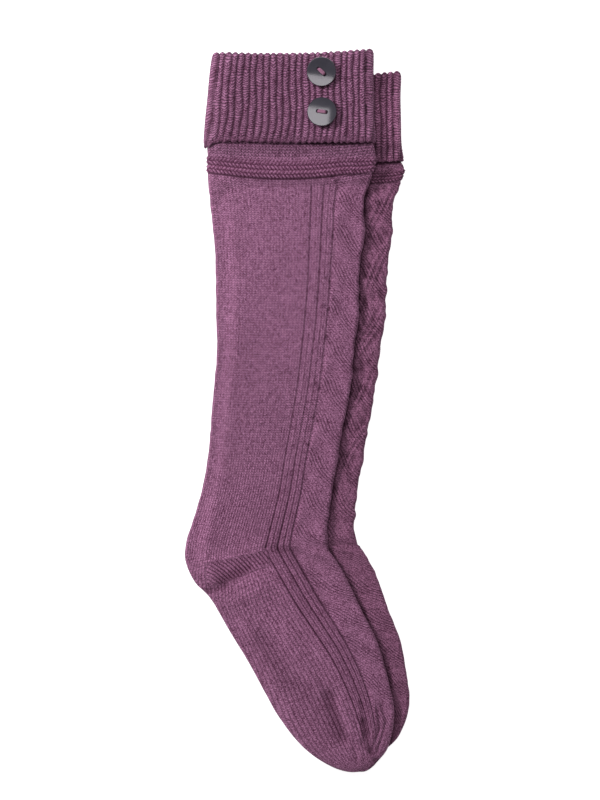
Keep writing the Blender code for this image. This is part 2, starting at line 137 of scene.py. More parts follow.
# Knitting of the leg and foot. Wales are columns of stitches, and courses are rows.
# A name that ends in Y is a place down the photograph, and its reach is in pixels too.
WALES = 48
WALE_SAMPLES = 4
WALE_RISE = 0.2 * MM
WALE_WIDTH = 2.4 * MM
WALE_FORM = 0.7
WALES_SHOW_Y = 430
WALES_SHOW_REACH = 90
COURSE = 1.8 * MM
STITCH_SLANT = 0.65
TOE_PLAIN = 12 * MM
TOE_EASE = 26 * MM
FINE_FROM = 6 * MM
INNER_SUNK = 0.5 * MM

# How deep the lines between the wales are, with painted shade in them, everywhere, low
# down and in the lace panel, and how much the stitches fade in the last two
FURROW = 0.12
FURROW_LOW = 0.48
FURROW_PANEL = 0.85
STITCH_FADE_LOW = 0.55
STITCH_FADE_PANEL = 0.6

# The foot has fewer wales than the leg: places down the photograph, and their shares
FOOT_PLACES = (556, 600, 700, 760)
FOOT_SHARES = (1.0, 0.68, 0.54, 0.46)

# The grooves beside the ribs along the side, with painted shade in them: the wale, how
# strong the line is, and how much is added further down the leg
Groove = namedtuple("Groove", "wale share more")
GROOVES = (
    Groove(30, 1.0, 0.0),
    Groove(32, 0.0, 0.45),
    Groove(34, 1.0, 0.0),
    Groove(36, 0.25, 0.45),
    Groove(38, 0.85, 0.0),
)
RIBS_FROM = GROOVES[0].wale
RIBS_TO = GROOVES[-1].wale
GROOVES_MORE_Y = 290
GROOVES_MORE_REACH = 60
GROOVE_HALF = 0.75
GROOVE_DEPTH = 0.7 * MM
GROOVE_SHADE = 0.8
GROOVE_START = 4 * MM
RIB_WALES = 4
RIB_ROUND = 0.22 * MM
RIB_ROUND_BENT = 0.7 * MM
BEND_Y = 610
BEND_REACH = 95

# The welt of purled ridges under the cuff
WELT_RISE = 1.0 * MM
WELT_WALES = 0.88
WELT_INSET = 1.6 * MM
WELT_UP = 2.6 * MM
WELT_FRONT = 0.78
WELT_LINE = 0.5 * MM
WELT_LINE_HALF = 1.0 * MM
WELT_LINE_SHADE = 0.7
PURL_RISE = 0.9 * MM
PURL_SLANT = 1.0

# The lace panel at the front
PANEL_WALE = 38
PANEL_EDGE = 1.5
PANEL_REPEAT = 28 * MM
PANEL_RISE = 0.65 * MM
PANEL_LEAN = 8.7
PANEL_SCALE = 0.85
PANEL_SWING = 0.35
PANEL_LINES = 12

# The lower sock beside the upper one: its first column that shows, its uneven lace, and
# the shade where the upper sock meets it
SHOWN_WALE = 36
SHOWN_EDGE = 1.5
STRIP_RISE = 0.6 * MM
STRIP_EDGE = 0.25
STRIP_LOW = 0.65
STRIP_SHADE = 0.55
CREASE_SHADE = 0.75
CREASE_REACH = 2.0 * MM

# The edges swell a little in and out: how far, the back's share, and how much less they
# do so along the foot
EDGE_WAVE = 0.55 * MM
EDGE_BACK = 0.25
EDGE_CALM = 0.75
EDGE_CALM_Y = 545
EDGE_CALM_REACH = 40

# The turns, in degrees, of the columns around a tube's rounded edges
EDGE_TURNS = (0, 15, 30, 45, 60, 75)
UNDER_TURNS = (25, 58)

# Knitting of the cuff
CUFF_RIBS = 23
SHOWN_RIB = 17
RIB_SAMPLES = 8
RIB_RISE = 0.9 * MM
RIB_LEAN = 0.02
RIB_SWAY = 0.005
RIB_WIDTH = 5.3 * MM
RIB_WOBBLE = 0.085
RIB_FORM = 0.9
RIB_SLANT = 0.75
RIB_STEP = 0.37
FOLD_SCALLOP = 0.55 * MM
HEM_WIGGLE = 0.5 * MM
RIBS_START = 0.03
RIBS_END = 0.97
CUFF_STITCH = 0.3 * MM
CUFF_COURSE = 1.9 * MM
CUFF_TONE = 0.87
BIND_OFF = 3.6 * MM
BIND_EASE = 1.2 * MM
BIND_RISE = 0.65 * MM

# The edge of the turned cuff waves a little: places across, and how many millimetres it
# is raised there
HEM_WAVE_PLACES = (0.0, 0.06, 0.20, 0.35, 0.55, 0.70, 1.0)
HEM_WAVE_RISES = (-0.7, 3.0, 3.8, 3.4, 3.0, 2.4, 0.6)
HEM_WAVE_REACH = 30 * MM
HEM_LIFT = 1.1 * MM
HEM_LIFT_REACH = 16 * MM
HEM_LIFT_FROM = 0.35

# The shade that the cuff's edge casts on the leg: places across, and how dark it is, and
# how much darker and wider it is on the lower sock
HEM_SHADE_PLACES = (0.0, 0.5, 0.75, 1.0)
HEM_SHADES = (0.6, 0.8, 1.8, 1.0)
HEM_SHADE_REACH = 3.2 * MM
HEM_SHADE_LOWER = 0.3
HEM_REACH_LOWER = 0.6

# Buttons: place across, distance below the fold, the thread's turn, and how the button
# leans about both axes of its face, all turns in degrees
Button = namedtuple("Button", "name across below turn lean_x lean_y")
BUTTONS = (
    Button("top", 0.677, 12.6 * MM, -43, 3.1, 1.7),
    Button("bottom", 0.674, 42.5 * MM, -9, -4.2, -0.2),
)
LEAN_LIFT = 0.4
BUTTON_WIDTH = 21.5 * MM
BUTTON_THICK = 3.0 * MM
HOLE_WIDTH = 2.2 * MM
HOLE_SPACING = 5.9 * MM
SEAT_TILT = 0.4

# Soft folds, listed in the photograph's pixels: both ends, half width, and the rise in
# millimetres
Fold = namedtuple("Fold", "name x0 y0 x1 y1 width rise")
FOLD_ROWS = (
    ("heel_hollow", 224, 582, 247, 570, 7, -1.5),
    ("heel_roll", 214, 562, 256, 549, 7, 0.9),
    ("heel_cup", 198, 545, 204, 572, 11, 1.2),
    ("sole_kink", 203, 594, 224, 587, 4, -1.2),
    ("sole_roll", 224, 606, 262, 590, 8, 0.9),
    ("ankle_bend", 268, 549, 300, 553, 5, -0.8),
    ("ankle_roll", 296, 540, 322, 536, 8, 0.8),
    ("instep_roll", 318, 556, 345, 596, 8, 0.8),
    ("instep_hollow", 296, 560, 330, 612, 5, -0.6),
    ("toe_hollow", 329, 698, 342, 738, 7, -1.9),
    ("toe_hollow_left", 306, 690, 328, 736, 9, -0.6),
    ("toe_roll", 341, 704, 357, 737, 5, 1.5),
    ("toe_crease_high", 361, 703, 364.5, 726, 2.2, -0.9),
    ("toe_crease", 364, 722, 367, 734, 3.2, -1.9),
    ("toe_crease_low", 366, 734, 371, 752, 2.7, -1.7),
    ("toe_crease_end", 371, 752, 376, 762, 2.2, -1.2),
    ("toe_crease_roll", 371, 716, 374, 742, 5, 0.9),
    ("toe_seam_roll", 358.5, 738, 361, 758, 2.6, 0.7),
    ("toe_left", 354, 742, 357, 764, 2.2, -0.6),
    ("arc_inner_high", 377, 708, 380, 726, 1.5, -0.8),
    ("arc_inner_low", 380, 728, 372, 750, 1.5, -0.9),
    ("arc_outer_high", 381, 704, 386, 722, 1.5, -0.9),
    ("arc_outer_low", 386, 724, 377, 752, 1.5, -0.9),
    ("sole_hollow", 262, 640, 290, 686, 12, -1.0),
    ("foot_roll", 286, 632, 312, 676, 8, 0.7),
    ("foot_hollow", 300, 640, 326, 690, 5, -0.6),
    ("calf_hollow", 222, 196, 236, 250, 14, -0.4),
    ("calf_roll", 262, 190, 272, 260, 18, 0.4),
    ("leg_hollow", 240, 350, 232, 440, 16, -0.35),
    ("leg_roll", 262, 400, 250, 500, 14, 0.4),
    ("front_hollow", 352, 200, 350, 250, 8, -0.4),
    ("cuff_hollow", 262, 70, 258, 120, 12, -0.35),
    ("cuff_roll", 226, 66, 222, 130, 12, 0.35),
)
FOLDS = [Fold(*row) for row in FOLD_ROWS]
FOLD_LIMIT = 1.9 * MM
FOLD_SHADE = 0.62
FOLD_SHADE_DEPTH = 2.2 * MM
UNEVENNESS = 0.16 * MM

# Painted light and shade: lighter and darker areas of the knitting, in the photograph's
# pixels
PaintedLight = namedtuple("PaintedLight", "name x y reach_x reach_y gain")
PAINTED_LIGHT_ROWS = (
    ("calf", 258, 230, 70, 90, 0.04),
    ("leg", 235, 390, 50, 80, -0.06),
    ("heel", 203, 552, 26, 30, 0.05),
    ("wedge", 240, 570, 26, 11, 0.34),
    ("foot", 300, 640, 70, 70, 0.1),
    ("toe", 345, 735, 60, 50, 0.04),
    ("welt", 285, 169, 130, 7.5, 0.2),
    ("front", 345, 230, 30, 90, -0.03),
    # a painted shadow of the cuff's edge on the band below it
    ("band", 285, 150, 130, 9, -0.42),
    ("cuff_left", 215, 110, 22, 60, 0.05),
    ("cuff_right", 355, 100, 22, 60, 0.1),
    # painted light that lifts the lower cuff out of the upper cuff's shadow
    ("lower_cuff", 388, 115, 14, 40, 1.2),
)
PAINTED_LIGHTS = [PaintedLight(*row) for row in PAINTED_LIGHT_ROWS]

# The small openings of the lace panel, in the photograph's pixels: the lower right one
# of each pair
Eyelet = namedtuple("Eyelet", "x y")
EYELETS = (
    Eyelet(336, 182),
    Eyelet(333, 236),
    Eyelet(330, 282),
    Eyelet(329, 310),
    Eyelet(330, 342),
    Eyelet(320, 388),
    Eyelet(317, 421),
    Eyelet(312, 449),
)
EYELET_STEPS = ((0, 0), (-3.6, -4.6))
EYELET_SIZE = 1.7
EYELET_DEPTH = 0.55 * MM
EYELET_SHADE = 0.6

# The short-row wedge of the heel, in the photograph's pixels: the lines above and below
# it, its ends, and its stripes, which are steeper and closer to the right
WEDGE_TOP = ((186, 567), (268, 549))
WEDGE_LOW = ((206, 590), (268, 568))
WEDGE_LEFT = 202
WEDGE_RIGHT = 270
WEDGE_FLAT = 215
WEDGE_STEEP = 270
WEDGE_SLOPES = (0.55, 1.25)
WEDGE_PITCH = 4.7
WEDGE_CLOSING = 0.12
WEDGE_RISE = 0.35 * MM
WEDGE_SHADE = 0.4
WEDGE_FURROW = 0.75
WEDGE_FADE = 0.4
WEDGE_FROM = 0.12


def ease(part):
    """A smooth step from 0 to 1."""
    part = np.clip(part, 0, 1)
    return part * part * (3 - 2 * part)


def slow_ease(part):
    """A step from 0 to 1 that starts and ends without a crease."""
    part = np.clip(part, 0, 1)
    return part**3 * (10 - 15 * part + 6 * part * part)


def near(value, middle, width):
    """1 at a middle value, falling straight to 0 at a width from it."""
    return np.clip(1 - np.abs(value - middle) / width, 0, 1)


def column(*names):
    """The named columns of the sections, in metres, a row for each section."""
    return np.array([[getattr(s, n) for n in names] for s in SECTIONS], float) * MM


def distance_down():
    """How far each section is from the mouth, measured midway between back and front."""
    back_steps = np.diff(column("back_x", "back_y"), axis=0)
    front_steps = np.diff(column("front_x", "front_y"), axis=0)
    steps = np.linalg.norm(back_steps, axis=1) + np.linalg.norm(front_steps, axis=1)
    return np.concatenate([[0], np.cumsum(steps / 2)])


DOWN = distance_down()


def down_at(name):
    """The distance down to a named section."""
    return DOWN[[s.name for s in SECTIONS].index(name)]


class Curve:
    """A smooth curve through a row of values, one for each section."""

    def __init__(self, values):
        self.values = values
        self.slopes = np.gradient(values, DOWN, axis=0)

    def at(self, down):
        down = np.asarray(down, float)
        i = np.clip(np.searchsorted(DOWN, down) - 1, 0, len(DOWN) - 2)
        span = (DOWN[i + 1] - DOWN[i])[..., None]
        t = np.maximum(down - DOWN[i], 0)[..., None] / span
        return (
            self.values[i] * (1 + 2 * t) * (1 - t) ** 2
            + self.slopes[i] * span * t * (1 - t) ** 2
            + self.values[i + 1] * t * t * (3 - 2 * t)
            - self.slopes[i + 1] * span * t * t * (1 - t)
            + self.slopes[0] * np.minimum(down, 0)[..., None]
        )


BACK = Curve(column("back_x", "back_y"))
SIDE = Curve(column("side_x", "side_y"))
FRONT = Curve(column("front_x", "front_y"))
SHIFT = Curve(column("shift_x", "shift_y"))
FULL = Curve(column("full") / MM)
HEM = down_at("hem")
WELT_START = down_at("welt_start")
WELT_END = down_at("welt_end")
TOE_END = DOWN[-1]


def pixels(flat):
    """Where points seen from above are in the photograph."""
    return flat[..., 0] / PIXEL + ORIGIN_X, ORIGIN_Y - flat[..., 1] / PIXEL


def sock_outline(shift, end, spread, rise):
    """The edge of a sock from its mouth to a distance down, seen from above."""
    down = np.linspace(0, end, OUTLINE_POINTS)
    back, front = BACK.at(down), FRONT.at(down)
    along = (front - back) / np.linalg.norm(front - back, axis=1)[:, None]
    backs = back - along * spread + SHIFT.at(down) * shift
    fronts = front + along * spread + SHIFT.at(down) * shift
    backs[0, 1] += rise
    fronts[0, 1] += rise
    return np.concatenate([backs, fronts[::-1]])


UPPER_LEG_EDGE = sock_outline(0, TOE_END, 0, 0)
LOWER_LEG_EDGE = sock_outline(1, TOE_END, 0, 0)
LOWER_CUFF_EDGE = sock_outline(1, HEM, CUFF_LIFT, FOLD_RISE)


def outside(points, edge):
    """The distance from each point to an outline, 0 for a point inside it."""
    ends = np.roll(edge, -1, axis=0)
    run = ends - edge
    length = (run * run).sum(axis=1)
    found = np.empty(len(points))
    for start in range(0, len(points), 8000):
        x, y = points[start : start + 8000, 0:1], points[start : start + 8000, 1:2]
        part = ((x - edge[:, 0]) * run[:, 0] + (y - edge[:, 1]) * run[:, 1]) / length
        part = np.clip(part, 0, 1)
        off_x = edge[:, 0] + run[:, 0] * part - x
        off_y = edge[:, 1] + run[:, 1] * part - y
        away = np.sqrt((off_x**2 + off_y**2).min(axis=1))
        above = (edge[:, 1] > y) != (ends[:, 1] > y)
        crossing = edge[:, 0] + (y - edge[:, 1]) * run[:, 0] / np.where(above, run[:, 1], 1)
        inside = (above & (crossing > x)).sum(axis=1) % 2 == 1
        found[start : start + 8000] = np.where(inside, 0, away)
    return found


def draped(points, edge, height, reach):
    """The height of cloth that lies on something of an outline and falls beside it."""
    return height * (1 - slow_ease((outside(points, edge) - DRAPE_START) / reach))


def plan(shift, across, down):
    """Points of a flat sock seen from above, and the direction across there."""
    back, side, front = BACK.at(down), SIDE.at(down), FRONT.at(down)
    u = np.asarray(across)[..., None]
    k = SIDE_PLACE
    point = (
        back * (u - k) * (u - 1) / k
        + side * u * (u - 1) / (k * (k - 1))
        + front * u * (u - k) / (1 - k)
    )
    run = front - back
    return point + SHIFT.at(down) * shift, run / np.linalg.norm(run, axis=-1)[..., None]


def button_place(shift, button):
    """Where a button's middle is, seen from above."""
    return plan(shift, button.across, button.below)[0]


def rest_height(shift, flat):
    """The height of the surface that a sock's underside lies on."""
    points = flat.reshape(-1, 2)
    if shift:
        return np.zeros(flat.shape[:-1])
    leg = draped(points, LOWER_LEG_EDGE, LEG_TOP + SEAM_GAP, LEG_DRAPE)
    cuff = draped(points, LOWER_CUFF_EDGE, CUFF_TOP + SEAM_GAP, CUFF_DRAPE)
    bump = np.zeros(len(points))
    for button in BUTTONS:
        away = np.linalg.norm(points - button_place(1, button), axis=1) - BUTTON_CLEAR
        bump = np.maximum(bump, 1 - ease(away / BUTTON_DRAPE))
    height = np.maximum(leg, cuff) + bump * (BUTTON_THICK + SEAM_GAP)
    return height.reshape(flat.shape[:-1])


def crown_height(shift, across):
    """How far the air in the upper sock lifts its top layer."""
    across = np.clip(across, 0, 1)
    return (1 - shift) * CROWN * (4 * across * (1 - across)) ** CROWN_FORM


def cuff_lift(down):
    """How far the leg is lifted by the cuff turned down around it."""
    return CUFF_LIFT * (1 - ease((down - HEM) / LIFT_EASE))


def folds(flat):
    """The rise of the listed soft folds, and a slow unevenness of the cloth."""
    x, y = pixels(flat)
    rise = np.zeros(x.shape)
    for fold in FOLDS:
        run_x, run_y = fold.x1 - fold.x0, fold.y1 - fold.y0
        part = ((x - fold.x0) * run_x + (y - fold.y0) * run_y) / (run_x**2 + run_y**2)
        part = np.clip(part, 0, 1)
        away = np.hypot(x - fold.x0 - run_x * part, y - fold.y0 - run_y * part)
        rise += fold.rise * MM * np.exp(-((away / fold.width) ** 2))
    slow = np.sin(x / 17 + y / 41) * np.sin(y / 29 - x / 53 + 1.3)
    slow += 0.6 * np.sin(x / 9 - y / 23 + 0.7) * np.sin(y / 16 + x / 31)
    return np.clip(rise + UNEVENNESS * slow, -FOLD_LIMIT, FOLD_LIMIT)


def painted_light(flat):
    """How much painted light or shade lightens or darkens the knitting from place to place."""
    x, y = pixels(flat)
    tone = np.ones(x.shape)
    for spot in PAINTED_LIGHTS:
        away = ((x - spot.x) / spot.reach_x) ** 2 + ((y - spot.y) / spot.reach_y) ** 2
        tone += spot.gain * np.exp(-away)
    return tone


# A column of points down a tube: its share across the top or underside, its turn around
# a rounded edge, which edge, and whether it is on the underside
Columns = namedtuple("Columns", "share turn side under")


def make_columns(top_shares, under_count):
    """Columns in order around a tube, from the back edge over the top and back under."""
    listed = [(0, turn, -1, False) for turn in EDGE_TURNS]
    listed += [(share, 90, 0, False) for share in top_shares]
    listed += [(1, turn, 1, False) for turn in reversed(EDGE_TURNS)]
    listed += [(1, turn, 1, True) for turn in UNDER_TURNS]
    listed += [(share, 90, 0, True) for share in np.linspace(1, 0, under_count)]
    listed += [(0, turn, -1, True) for turn in reversed(UNDER_TURNS)]
    share, turn, side, under = (np.array(values) for values in zip(*listed))
    return Columns(share.astype(float), np.radians(turn), side, under)


def edge_share(down, offset):
    """The width of a tube's rounded edge, as a share of the tube's width."""
    half = HALF_TUBE * FULL.at(down)[..., 0] + offset
    width = np.linalg.norm(FRONT.at(down) - BACK.at(down), axis=-1)
    return np.maximum(half, 0.1 * MM) / width


def places(columns, down, offset):
    """Each column's place across, 0 at the back and 1 at the front."""
    edge = edge_share(down, offset)
    inset = edge * (1 - np.cos(columns.turn))
    flat_place = edge + (1 - 2 * edge) * columns.share
    place = np.where(columns.side < 0, inset, flat_place)
    return np.where(columns.side > 0, 1 - inset, place)


def edge_arc(columns, down, offset):
    """The distance around a rounded edge from the top, less than 0 at the back."""
    half = HALF_TUBE * FULL.at(down)[..., 0] + offset
    return columns.side * half * (np.pi / 2 - columns.turn)


def tube(shift, columns, place, down, offset, relief):
    """Points of a tube's skin, for rows of distances down and columns around it."""
    down = down + np.zeros(place.shape)
    half = HALF_TUBE * FULL.at(down)[..., 0] + offset
    flat, along = plan(shift, place, down)
    out = columns.side * np.cos(columns.turn) * (offset + relief)
    flat = flat + along * out[..., None]
    rise = np.sin(columns.turn)
    middle = rest_height(shift, flat) + cuff_lift(down) + half - offset
    top = (half + relief + crown_height(shift, place)) * rise
    z = middle + np.where(columns.under, -half * rise, top)
    return np.concatenate([flat, z[..., None]], axis=-1)


# What the knitting gives each point: how far it stands out, how much painted shade it gets
# in its gaps and hollows, how deep and darkly shaded the lines between its wales are, how
# plain its stitches show, and its place counted in wales and courses
Knit = namedtuple("Knit", "rise gap furrow stitch wale course")


def welt_knit(wale, down):
    """Two garter ridges, each two rows of slanted bumps, with painted shade between the bumps."""
    start = WELT_START + WELT_INSET - WELT_UP
    rows = 4 * (down - start) / (WELT_END - WELT_UP - start)
    inside = (rows > 0) & (rows < 4)
    row, part = np.floor(rows), rows % 1
    slant = np.where(row % 2 == 0, PURL_SLANT, -PURL_SLANT) * (part - 0.5)
    bump = np.abs(np.sin(np.pi * (WELT_WALES * wale + 0.5 * row + slant))) ** 1.2
    bump = bump * np.sin(np.pi * part) ** 0.7
    ridge = np.abs(np.sin(np.pi * rows / 2)) ** 0.7
    rise = np.where(inside, 0.7 * WELT_RISE * ridge + PURL_RISE * bump, 0)
    gap = np.where(inside, 1.15 * ease((0.8 - bump) / 0.65), 0)
    return inside, rise, gap


def wedge_knit(x, y):
    """Slanting stripes of the heel's short-row wedge: how much, its wale and course."""

    def below(line):
        (x0, y0), (x1, y1) = line
        return y - (y0 + (x - x0) * (y1 - y0) / (x1 - x0))

    share = ease(below(WEDGE_TOP) / 2.5) * ease(-below(WEDGE_LOW) / 7)
    share *= ease((WEDGE_RIGHT - x) / 3) * ease((x - WEDGE_LEFT) / 16)
    slope = np.interp(x, (WEDGE_FLAT, WEDGE_STEEP), WEDGE_SLOPES)
    (x0, y0), (x1, y1) = WEDGE_TOP
    start = x - below(WEDGE_TOP) / (slope + (y0 - y1) / (x1 - x0)) - WEDGE_FLAT
    wale = start / WEDGE_PITCH * (1 + WEDGE_CLOSING * start / (WEDGE_STEEP - WEDGE_FLAT))
    course = (x * slope + y) * PIXEL / COURSE
    line = near(below(WEDGE_TOP), 0, 2) * (x < WEDGE_RIGHT) * ease((x - WEDGE_LEFT) / 14)
    return share, wale, course, line


def panel_knit(wale, down, fade):
    """The lace panel: how much, its leaning wales, its rise and its darker lines."""
    repeat = down / PANEL_REPEAT
    share = ease((wale - PANEL_WALE) / PANEL_EDGE) * fade
    # the wales lean more in one half of each repeat than in the other
    swing = PANEL_SWING / (2 * np.pi) * np.cos(2 * np.pi * repeat)
    leaning = PANEL_WALE + PANEL_SCALE * (wale - PANEL_WALE) - PANEL_LEAN * (repeat - swing)
    cable = np.sin(np.pi * repeat + 2.2 * np.sin(np.pi * (wale - PANEL_WALE) / 10))
    lines = 0.55 + 0.45 * np.sin(2 * np.pi * (repeat - wale / PANEL_LINES))
    return share, leaning, share * PANEL_RISE * (0.5 + 0.8 * cable), lines


def groove_knit(wale, down, y, fade):
    """The grooves beside the ribs and the round ribs between them: rise and painted shade in the
    grooves.
    """
    bent = np.exp(-(((y - BEND_Y) / BEND_REACH) ** 2))
    more = ease((y - GROOVES_MORE_Y) / GROOVES_MORE_REACH)
    broken = 0.55 + 0.45 * np.sin(down / (1.9 * MM) + 2 * np.sin(down / (7 * MM)))
    shade = GROOVE_SHADE * (0.8 + 0.2 * bent) * (0.75 + 0.25 * broken)
    close = np.zeros(wale.shape)
    for groove in GROOVES:
        close += near(wale, groove.wale, GROOVE_HALF) * (groove.share + groove.more * more)
    close *= fade
    between = (wale > RIBS_FROM) & (wale < RIBS_TO)
    rounding = (RIB_ROUND + RIB_ROUND_BENT * bent) * between * fade
    rise = rounding * np.abs(np.sin(np.pi * (wale - RIBS_FROM) / RIB_WALES))
    return rise - GROOVE_DEPTH * close * (0.45 + 0.55 * bent), close * shade


def strip_lumps(columns, wale, down, low):
    """How uneven the lower sock's lace is, from one row of openings to the next."""
    slow = np.sin(down / (11 * MM)) + np.sin(down / (7.3 * MM) + 0.5 * wale)
    lumps = np.sin(down / (3.7 * MM) + 0.9 * wale + slow) * np.sin(0.8 * wale + 1.6 * slow)
    lumps += 0.5 * np.sin(down / (1.5 * MM) - 1.3 * wale + 2 * slow)
    return lumps * np.where(columns.side == 0, 1, STRIP_EDGE) * (1 - STRIP_LOW * low)


def edge_wave(shift, columns, down, y):
    """How far a sock's edges swell in and out."""
    wave = np.sin(down / (3.4 * MM) + 1.6 * np.sin(down / (9 * MM)))
    wave = wave + 0.45 * np.sin(down / (1.7 * MM) + np.sin(down / (5 * MM)))
    reach = np.where(columns.side > 0, 0.6 + 0.4 * shift, EDGE_BACK)
    calm = 1 - EDGE_CALM * ease((y - EDGE_CALM_Y) / EDGE_CALM_REACH)
    return EDGE_WAVE * wave * reach * np.abs(np.cos(columns.turn)) * calm


def hem_shade(shift, place, down):
    """How dark the leg is close under the cuff's edge."""
    hem = HEM - np.interp(place, HEM_WAVE_PLACES, HEM_WAVE_RISES) * MM
    shade = np.interp(place, HEM_SHADE_PLACES, HEM_SHADES) + HEM_SHADE_LOWER * shift
    return shade * near(down, hem, HEM_SHADE_REACH * (1 + HEM_REACH_LOWER * shift))


def eyelet_pits(x, y):
    """How deep in an eyelet each point is, 1 in the middle of one."""
    depth = np.zeros(x.shape)
    for eyelet in EYELETS:
        for step_x, step_y in EYELET_STEPS:
            away = (x - eyelet.x - step_x) ** 2 + (y - eyelet.y - step_y) ** 2
            depth += np.exp(-away / EYELET_SIZE**2)
    return depth


def sock_knit(shift, columns, place, down, flat):
    """The knitting of a leg and foot, and the painted shade in its gaps, grooves and hollows."""
    x, y = pixels(flat)
    wale = columns.share * WALES + edge_arc(columns, down, 0) / WALE_WIDTH
    course = down / COURSE + np.zeros(place.shape)
    toe = ease((TOE_END - TOE_PLAIN - down) / TOE_EASE)
    fade = ease((down - WELT_END) / GROOVE_START) * toe
    low = ease((y - WALES_SHOW_Y) / WALES_SHOW_REACH)
    panel, leaning, panel_rise, panel_lines = panel_knit(wale, down, fade)
    groove_rise, gap = groove_knit(wale, down, y, fade)
    narrow = RIBS_FROM + (wale - RIBS_FROM) * np.interp(y, FOOT_PLACES, FOOT_SHARES)
    line = np.where(wale < RIBS_FROM, narrow, wale)
    form = np.abs(np.sin(np.pi * line)) ** WALE_FORM * (1 - panel) + 0.6 * panel
    line = np.where(wale > PANEL_WALE, leaning, line)
    rise = WALE_RISE * (form - 0.5) + panel_rise + groove_rise
    furrow = FURROW + FURROW_LOW * low * (1 - panel) + FURROW_PANEL * panel * panel_lines
    stitch = 1 - STITCH_FADE_PANEL * panel - STITCH_FADE_LOW * low * (1 - panel)
    if shift:
        lumps = strip_lumps(columns, wale, down, low)
        rise += STRIP_RISE * lumps * fade
        beside = outside(flat.reshape(-1, 2), UPPER_LEG_EDGE).reshape(place.shape)
        gap += STRIP_SHADE * np.clip(-lumps, 0, 1) * fade
        gap += CREASE_SHADE * np.exp(-((beside / CREASE_REACH) ** 2))
    rise += edge_wave(shift, columns, down, y) * fade
    welt_down = down - WELT_UP * ease((place - WELT_FRONT) / 0.2)
    inside, welt_rise, welt_painted_shade = welt_knit(wale, welt_down)
    rise = np.where(inside, welt_rise, rise)
    gap = np.where(inside, welt_painted_shade, gap) + hem_shade(shift, place, down)
    gap += WELT_LINE_SHADE * near(welt_down, WELT_END - WELT_UP + WELT_LINE, WELT_LINE_HALF)
    stitch = np.where(inside, 0.0, stitch)
    furrow = np.where(inside, 0.0, furrow)
    if not shift:
        share, wedge_wale, wedge_course, wedge_line = wedge_knit(x, y)
        stripe = np.abs(np.sin(np.pi * wedge_wale)) ** 1.2
        rise = rise * (1 - share) + WEDGE_RISE * (share * stripe + wedge_line)
        gap = (gap * (1 - share) + WEDGE_SHADE * share * (1 - stripe)) * (1 - wedge_line)
        furrow = (furrow * (1 - share) + WEDGE_FURROW * share) * (1 - wedge_line)
        stitch = stitch * (1 - WEDGE_FADE * share)
        line = np.where(share > WEDGE_FROM, wedge_wale, line)
        course = np.where(share > WEDGE_FROM, wedge_course, course)
        pits = eyelet_pits(x, y)
        rise -= EYELET_DEPTH * pits
        gap += EYELET_SHADE * pits
    shown = ease((wale - SHOWN_WALE) / SHOWN_EDGE) if shift else np.ones(place.shape)
    top = np.where(columns.under, 0, 1) * shown
    fold = folds(flat)
    gap = gap + FOLD_SHADE * np.clip(-fold / FOLD_SHADE_DEPTH, 0, 1)
    course = course + STITCH_SLANT * np.abs(2 * (line % 1) - 1)
    gap = np.clip(gap * top, 0, 1)
    return Knit((rise + fold) * top, gap, furrow * top, stitch * top, line, course)


def rib_lean(down):
    """How far the ribs wander to the back on their way down, as a share of the width."""
    part = np.maximum(down, 0) / HEM
    return RIB_LEAN * part * part + RIB_SWAY * np.sin(2 * np.pi * part)


def rib_phase(columns, place, down, offset):
    """The ribs counted across a cuff and on around its edges."""
    rib = (place + rib_lean(down) - RIBS_START) / (RIBS_END - RIBS_START) * CUFF_RIBS
    edge = edge_share(down, offset)
    end = np.where(columns.side < 0, edge, 1 - edge)
    last = (end + rib_lean(down) - RIBS_START) / (RIBS_END - RIBS_START) * CUFF_RIBS
    rib = np.where(columns.side == 0, rib, last + edge_arc(columns, down, offset) / RIB_WIDTH)
    wobble = np.sin(rib * 1.7 + down / (9 * MM)) * np.sin(rib * 0.9 - down / (17 * MM))
    wobble += 0.6 * np.sin(rib * 2.9 - down / (5.5 * MM))
    return rib + RIB_WOBBLE * wobble


def cuff_knit(shift, columns, place, down, flat, offset, share):
    """The knitting of a turned cuff: raised ribs of V stitches and a bound-off edge."""
    rib = rib_phase(columns, place, down, offset)
    form = np.abs(np.sin(np.pi * rib)) ** RIB_FORM
    side = np.abs(2 * (rib % 1) - 1)
    course = down / CUFF_COURSE + np.zeros(place.shape)
    course = course + RIB_SLANT * side + RIB_STEP * np.floor(rib)
    course = course + 0.35 * np.sin(1.7 * rib + down / (4.5 * MM))
    course = course + 0.25 * np.sin(5.3 * rib - down / (2.6 * MM))
    strand = np.sin(np.pi * (course % 1))
    bind = ease((down - HEM + BIND_OFF) / BIND_EASE)
    uneven = 0.7 + 0.3 * np.sin(rib * 4.7) * np.sin(rib * 2.3 + 1)
    knots = np.sin(2 * np.pi * rib) ** 2 * np.abs(np.sin(2 * np.pi * (HEM - down) / BIND_OFF))
    knots = knots * uneven
    rise = RIB_RISE * form + CUFF_STITCH * strand * form
    rise = rise * (1 - 0.55 * bind) + bind * BIND_RISE * knots
    # painted shade between the ribs, between the strands and among the bound-off knots
    gap = 1 - form + 0.55 * (1 - strand) ** 1.5 * form
    gap = gap * (1 - 0.7 * bind) + 0.45 * bind * (1 - knots)
    shown = ease((rib - SHOWN_RIB) / 0.5) if shift else np.ones(place.shape)
    top = np.where(columns.under, 0, 1) * shown * share
    rise = (rise + folds(flat)) * top
    stitch = (1 - 0.6 * bind) * top
    return Knit(rise, np.clip(gap * top, 0, 1), 0 * stitch, stitch, rib, course)


def rows_between(start, end, step):
    """Evenly spaced distances from a start to an end."""
    return np.linspace(start, end, max(2, int(math.ceil((end - start) / step)) + 1))


def rows_along(*stretches):
    """Distances down through stretches that follow on: the start, end and step of each."""
    rows = [rows_between(start, end, step)[:-1] for start, end, step in stretches]
    rows.append([stretches[-1][1]])
    return np.concatenate(rows)


